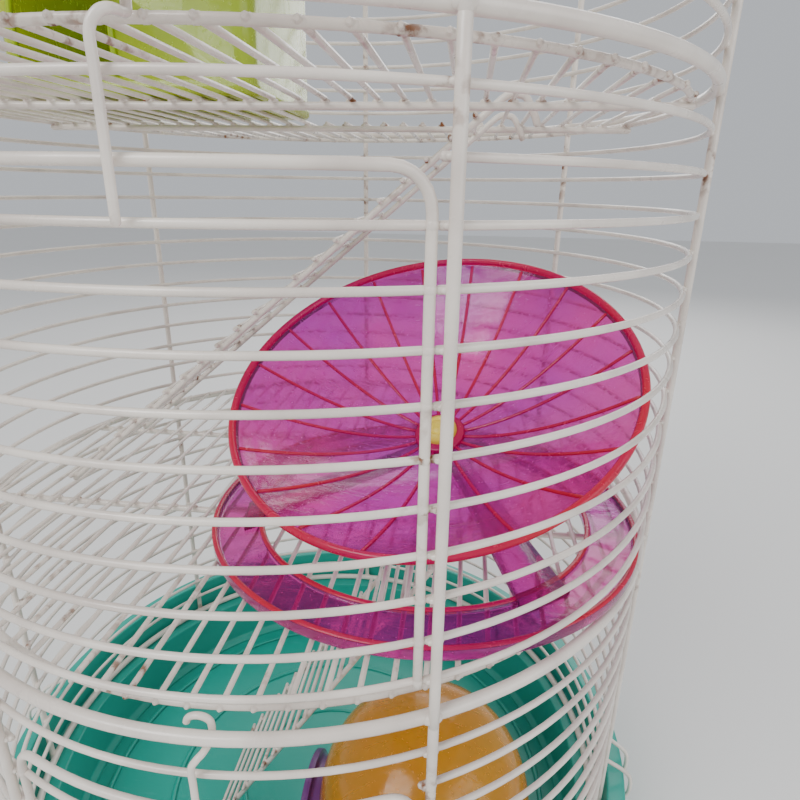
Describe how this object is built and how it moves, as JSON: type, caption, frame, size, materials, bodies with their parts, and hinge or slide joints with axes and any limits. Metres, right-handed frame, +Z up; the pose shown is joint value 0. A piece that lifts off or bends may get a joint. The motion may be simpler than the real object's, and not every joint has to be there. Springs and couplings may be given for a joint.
{
  "type": "hamster cage",
  "caption": "Round wire cage for a small rodent, with stacked storeys, wire floors, hooked ladders, swing doors with latches, a saucer wheel, a nest box, a hideout and a tray base.",
  "frame": {"origin": "centre of the tray's underside, on the surface that the cage stands on", "axes": "+Z up, -Y towards the doors, +X to the right of someone facing the doors"},
  "size_m": [0.2878, 0.282, 0.4287],
  "materials": {
    "coated_wire": "cream-white plastic-coated wire, slightly glossy",
    "plated_steel": "plated steel wire",
    "tray_plastic": "moulded teal-green plastic, lightly scuffed",
    "wheel_plastic": "clear hot-pink plastic with red edges",
    "hub_plastic": "yellow moulded plastic",
    "nest_plastic": "clear lime-yellow plastic",
    "hideout_plastic": "clear amber-orange plastic",
    "tunnel_plastic": "dark purple moulded plastic"
  },
  "bodies": {
    "root": {"wall_lower_bay_1": "coated_wire", "wall_lower_bay_2": "coated_wire", "wall_lower_bay_3": "coated_wire", "wall_lower_bay_4": "coated_wire", "wall_lower_bay_5": "coated_wire", "wall_lower_bay_6": "coated_wire", "wall_lower_bay_7": "coated_wire", "wall_middle_bay_1": "coated_wire", "wall_middle_bay_2": "coated_wire", "wall_middle_bay_3": "coated_wire", "wall_middle_bay_4": "coated_wire", "wall_middle_bay_5": "coated_wire", "wall_middle_bay_6": "coated_wire", "wall_middle_bay_7": "coated_wire", "wall_upper_bay_1": "coated_wire", "wall_upper_bay_2": "coated_wire", "wall_upper_bay_3": "coated_wire", "wall_upper_bay_4": "coated_wire", "wall_upper_bay_5": "coated_wire", "wall_upper_bay_6": "coated_wire", "wall_upper_bay_7": "coated_wire", "floor_middle": "coated_wire", "floor_upper": "coated_wire", "roof": "coated_wire", "floor_middle_brace_front": "coated_wire", "floor_middle_brace_back": "coated_wire", "floor_upper_brace_front": "coated_wire", "floor_upper_brace_back": "coated_wire", "roof_brace_front": "coated_wire", "roof_brace_back": "coated_wire", "door_lower_hinge_loop_1": "plated_steel", "door_lower_hinge_loop_2": "plated_steel", "door_middle_hinge_loop_1": "plated_steel", "door_middle_hinge_loop_2": "plated_steel", "wheel_axle": "plated_steel", "handle_eye_left": "plated_steel", "handle_eye_right": "plated_steel", "tray": "tray_plastic", "wheel_stand": "wheel_plastic", "hideout_base": "tunnel_plastic"},
    "lower_door": {"door_lower": "coated_wire"},
    "middle_door": {"door_middle": "coated_wire"},
    "lower_latch": {"door_lower_latch": "coated_wire"},
    "middle_latch": {"door_middle_latch": "coated_wire"},
    "saucer": {"wheel_saucer": "wheel_plastic", "wheel_hub_cap": "hub_plastic"},
    "lower_ladder": {"ladder_lower": "coated_wire"},
    "upper_ladder": {"ladder_upper": "coated_wire"},
    "nest": {"nest_box": "nest_plastic"},
    "nest_lid": {"nest_box_lid": "nest_plastic"},
    "hideout": {"hideout_dome": "hideout_plastic", "hideout_tunnel": "tunnel_plastic"},
    "clip_left": {"tray_clip_left": "coated_wire"},
    "clip_right": {"tray_clip_right": "coated_wire"},
    "handle": {"carry_handle": "coated_wire"}
  },
  "joints": [
    {"name": "lower_door_hinge", "type": "hinge", "parent": "root", "child": "lower_door", "pos_m": [-0.05237, -0.11708, 0.1], "axis": [0, 0, -1], "range_deg": [0, 110]},
    {"name": "middle_door_hinge", "type": "hinge", "parent": "root", "child": "middle_door", "pos_m": [-0.05237, -0.11708, 0.24], "axis": [0, 0, -1], "range_deg": [0, 110]},
    {"name": "lower_latch_slide", "type": "slide", "parent": "lower_door", "child": "lower_latch", "axis": [0, 0, -1], "range_m": [0, 0.0056]},
    {"name": "middle_latch_slide", "type": "slide", "parent": "middle_door", "child": "middle_latch", "axis": [0, 0, -1], "range_m": [0, 0.0056]},
    {"name": "saucer_spin", "type": "hinge", "parent": "root", "child": "saucer", "pos_m": [0.05175, -0.00804, 0.20116], "axis": [-0.1471, -0.4432, 0.8843], "continuous": true},
    {"name": "lower_ladder_hook", "type": "hinge", "parent": "root", "child": "lower_ladder", "pos_m": [0.0693, -0.006, 0.17797], "axis": [0, 1, 0], "range_deg": [0, 12]},
    {"name": "upper_ladder_hook", "type": "hinge", "parent": "root", "child": "upper_ladder", "pos_m": [0.0693, 0.001, 0.31503], "axis": [0, 1, 0], "range_deg": [0, 12]},
    {"name": "nest_lift", "type": "slide", "parent": "root", "child": "nest", "axis": [0, 0, 1], "range_m": [0, 0.015]},
    {"name": "nest_lid_lift", "type": "slide", "parent": "nest", "child": "nest_lid", "axis": [0, 0, 1], "range_m": [0, 0.015]},
    {"name": "hideout_lift", "type": "slide", "parent": "root", "child": "hideout", "axis": [0, 0, 1], "range_m": [0, 0.01]},
    {"name": "clip_left_swing", "type": "hinge", "parent": "root", "child": "clip_left", "pos_m": [-0.12999, -0.01366, 0.0568], "axis": [-0.1045, 0.9945, 0], "range_deg": [0, 70]},
    {"name": "clip_right_swing", "type": "hinge", "parent": "root", "child": "clip_right", "pos_m": [0.12999, -0.01366, 0.0568], "axis": [-0.1045, -0.9945, 0], "range_deg": [0, 70]},
    {"name": "handle_swing", "type": "hinge", "parent": "root", "child": "handle", "pos_m": [0, 0, 0.425], "axis": [1, 0, 0], "range_deg": [0, 180]}
  ]
}
